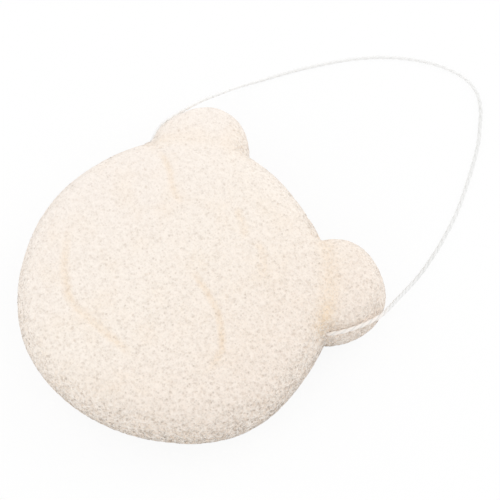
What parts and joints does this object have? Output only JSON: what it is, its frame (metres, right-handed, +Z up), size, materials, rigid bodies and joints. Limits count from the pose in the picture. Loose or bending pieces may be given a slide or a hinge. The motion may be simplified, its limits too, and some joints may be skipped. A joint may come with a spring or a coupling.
{
  "type": "natural bath sponge",
  "caption": "Round moulded plant-fibre bath sponge with rounded ears and a cotton cord threaded through it and knotted inside, whose free loop swings up to hang it.",
  "frame": {"origin": "on the surface that the sponge lies on, under the middle of the sponge's box, the cord's loop left out", "axes": "+Z up out of the sponge's top face, +Y from the round body towards the two ears, +X towards the right ear as the sponge is seen from above with its ears at the top"},
  "size_m": [0.09, 0.1587, 0.023],
  "materials": {
    "plant_fibre_foam": "matte",
    "white_cotton": "matte"
  },
  "bodies": {
    "sponge_body": {"sponge": "plant_fibre_foam", "cord_end_left": "white_cotton", "cord_end_right": "white_cotton"},
    "loop_body": {"hanging_loop": "white_cotton"}
  },
  "joints": [
    {"name": "loop_swing", "type": "hinge", "parent": "sponge_body", "child": "loop_body", "pos_m": [0, 0.02103, 0.015], "axis": [1, 0, 0], "range_deg": [0, 160]}
  ]
}
